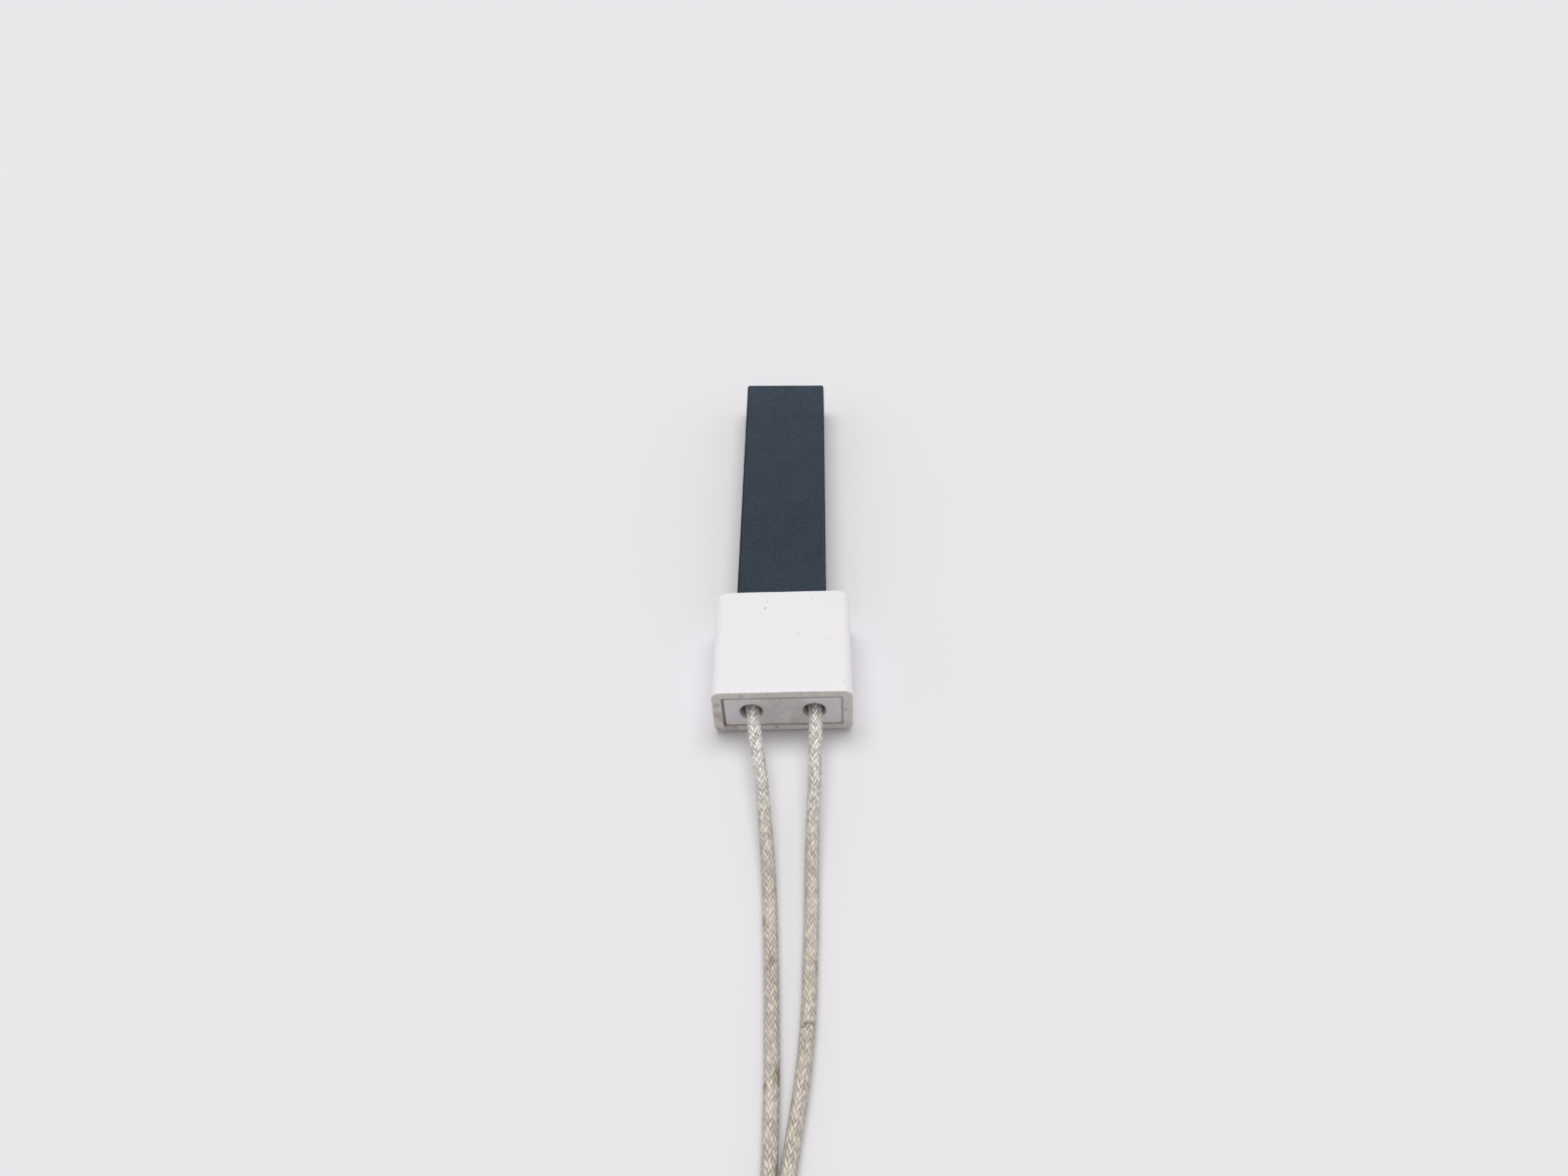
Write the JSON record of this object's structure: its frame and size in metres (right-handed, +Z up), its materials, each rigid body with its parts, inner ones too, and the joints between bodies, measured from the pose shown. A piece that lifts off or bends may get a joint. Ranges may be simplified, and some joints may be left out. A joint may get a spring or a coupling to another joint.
{
  "type": "hot surface igniter",
  "caption": "Flat silicon nitride heater blade cemented into a rectangular ceramic block, with a pair of braided leads ending in push-on terminals; it lights gas or pellets.",
  "frame": {"origin": "middle of the ceramic block's flat base", "axes": "+Z up, +Y from the block towards the blade's tip, +X to the right seen from the leads"},
  "size_m": [0.0344, 0.2275, 0.011],
  "materials": {
    "block_ceramic": "smooth unglazed white technical ceramic",
    "cover_ceramic": "unglazed pale grey ceramic, rough between the holes",
    "seam_cement": "brownish ceramic cement",
    "fill_cement": "matt off-white ceramic cement",
    "blade_ceramic": "ground dark slate-grey silicon nitride, matt",
    "track_metal": "sintered tungsten",
    "pad_metal": "nickel-plated metallised ceramic",
    "braze_metal": "dull silver-copper braze",
    "nickel": "drawn nickel wire",
    "crimp_metal": "stainless steel sleeve",
    "strand_metal": "nickel-plated copper strands",
    "lead_braid": "off-white glass-fibre braid",
    "tie_plastic": "natural nylon",
    "terminal_metal": "nickel-plated steel strip"
  },
  "bodies": {
    "root": {"ceramic_housing": "block_ceramic", "rear_cover": "cover_ceramic", "cover_cement": "seam_cement", "slot_cement": "seam_cement", "cement_fill": "fill_cement", "heater_blade": "blade_ceramic", "heater_track": "track_metal", "left_contact_pad": "pad_metal", "right_contact_pad": "pad_metal", "left_braze": "braze_metal", "right_braze": "braze_metal", "left_nickel_wire": "nickel", "right_nickel_wire": "nickel", "left_crimp_sleeve": "crimp_metal", "right_crimp_sleeve": "crimp_metal", "left_conductor": "strand_metal", "right_conductor": "strand_metal", "left_lead": "lead_braid", "right_lead": "lead_braid", "left_lead_hank": "lead_braid", "right_lead_hank": "lead_braid", "left_hank_tie": "tie_plastic", "right_hank_tie": "tie_plastic", "left_push_on_terminal": "terminal_metal", "right_push_on_terminal": "terminal_metal", "left_stripped_end": "strand_metal", "right_stripped_end": "strand_metal"}
  },
  "joints": []
}
